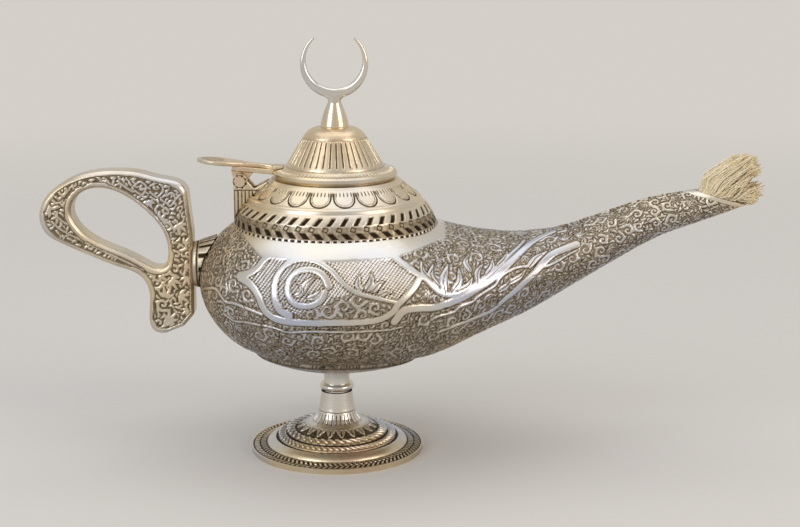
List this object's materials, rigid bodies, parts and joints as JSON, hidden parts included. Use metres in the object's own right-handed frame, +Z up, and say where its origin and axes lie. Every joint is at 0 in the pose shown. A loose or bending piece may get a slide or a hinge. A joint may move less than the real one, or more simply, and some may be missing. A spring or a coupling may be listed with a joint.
{
  "type": "genie oil lamp",
  "caption": "Footed oil lamp with a round bowl, a long upswept spout with a cotton wick, a pierced handle, and a hinged fluted lid under a crescent.",
  "frame": {"origin": "centre of the foot's underside, on the surface that the lamp stands on", "axes": "+X from the handle towards the spout, +Y away from the engraved front, +Z up along the foot's and lid's axis"},
  "size_m": [0.3014, 0.1144, 0.1758],
  "materials": {
    "antique_silver_plate": "antique silver plate over cast brass, worn bright on the raised work and dark in the recesses",
    "polished_silver_plate": "polished silver plate over turned brass",
    "brazed_brass": "brazed joint, smooth, gold brown",
    "bare_brass": "bare cast brass, dull",
    "zinc_plated_steel": "zinc plated, satin",
    "cotton_wick": "loose-spun unbleached cotton"
  },
  "bodies": {
    "lamp": {"foot_base": "antique_silver_plate", "foot_stem": "polished_silver_plate", "stem_collar": "polished_silver_plate", "foot_screw": "zinc_plated_steel", "foot_washer": "zinc_plated_steel", "bowl_boss": "bare_brass", "bowl_near_half": "antique_silver_plate", "bowl_far_half": "antique_silver_plate", "shoulder_band": "antique_silver_plate", "collar_ring": "antique_silver_plate", "hinge_bracket": "antique_silver_plate", "hinge_pin": "polished_silver_plate", "handle": "antique_silver_plate", "handle_saddle": "brazed_brass"},
    "lid": {"lid_shell": "antique_silver_plate", "lid_ring": "bare_brass", "finial_cone": "polished_silver_plate", "crescent": "polished_silver_plate", "finial_stud": "zinc_plated_steel", "finial_nut": "zinc_plated_steel", "thumb_lever": "antique_silver_plate", "hinge_leaf": "antique_silver_plate"},
    "wick": {"wick_cord": "cotton_wick", "wick_tuft": "cotton_wick"}
  },
  "joints": [
    {"name": "lid_hinge", "type": "hinge", "parent": "lamp", "child": "lid", "pos_m": [-0.0392, 0, 0.1163], "axis": [0, -1, 0], "range_deg": [0, 95]},
    {"name": "wick_feed", "type": "slide", "parent": "lamp", "child": "wick", "axis": [0.9254, 0, 0.3789], "range_m": [0, 0.008]}
  ]
}
